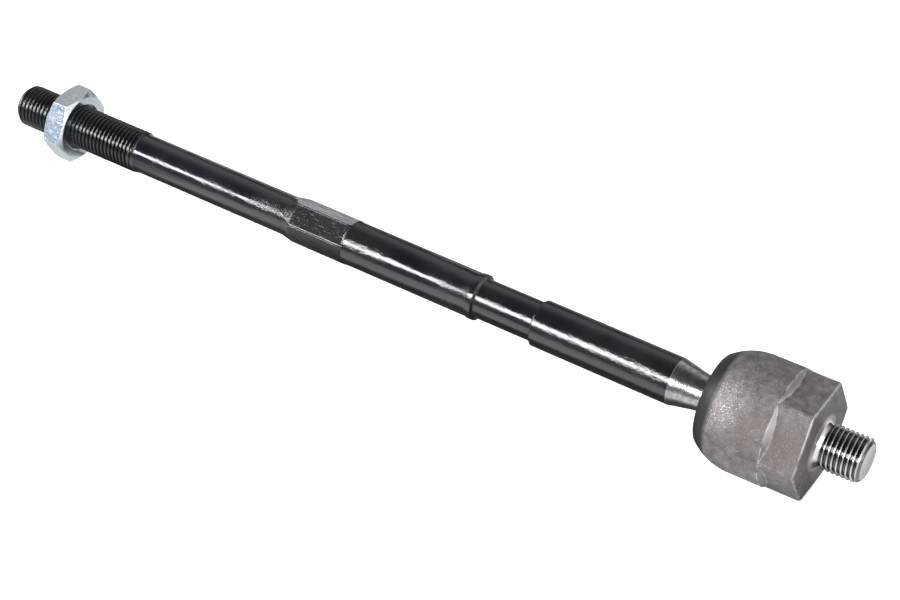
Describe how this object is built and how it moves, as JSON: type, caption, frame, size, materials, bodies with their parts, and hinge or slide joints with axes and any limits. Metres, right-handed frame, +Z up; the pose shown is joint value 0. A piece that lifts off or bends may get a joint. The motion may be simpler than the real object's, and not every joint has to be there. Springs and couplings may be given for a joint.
{
  "type": "inner tie rod",
  "caption": "Black threaded steering rod with a thin lock nut, whose ball end swings in a forged housing with a wrench hexagon and a threaded stud.",
  "frame": {"origin": "on the plane that the part lies on, under the middle of its length and under its axis", "axes": "+X along the part, from the rod's outer end towards the rack stud; +Z up. The part lies on its housing and its smaller lock nut, so the rod rises by 1.64 degrees towards the stud, and the ball joint holds the housing and the stud at 2.3 degrees"},
  "size_m": [0.3064, 0.0364, 0.0369],
  "materials": {
    "housing_steel": "phosphated forging, satin grey with a fine speckle; bright cut thread on the stud",
    "race_plastic": "natural moulded plastic, greased",
    "rod_black": "gloss black coat, bare turned steel at the neck",
    "nut_zinc": "bright bluish zinc plate with fine scratches"
  },
  "bodies": {
    "housing": {"ball_housing": "housing_steel"},
    "race": {"ball_race": "race_plastic"},
    "rod": {"tie_rod": "rod_black"},
    "nut": {"lock_nut": "nut_zinc"}
  },
  "joints": [
    {"name": "race_spin", "type": "hinge", "parent": "housing", "child": "race", "pos_m": [0.11638, 0, 0.01825], "axis": [0.9992, 0, 0.0401], "continuous": true},
    {"name": "rod_swing", "type": "hinge", "parent": "race", "child": "rod", "pos_m": [0.11638, 0, 0.01825], "axis": [0, 1, 0], "range_deg": [-20.66, 19.34]},
    {"name": "nut_travel", "type": "slide", "parent": "rod", "child": "nut", "axis": [0.9996, 0, 0.0287], "range_m": [-0.015, 0.0225]}
  ]
}
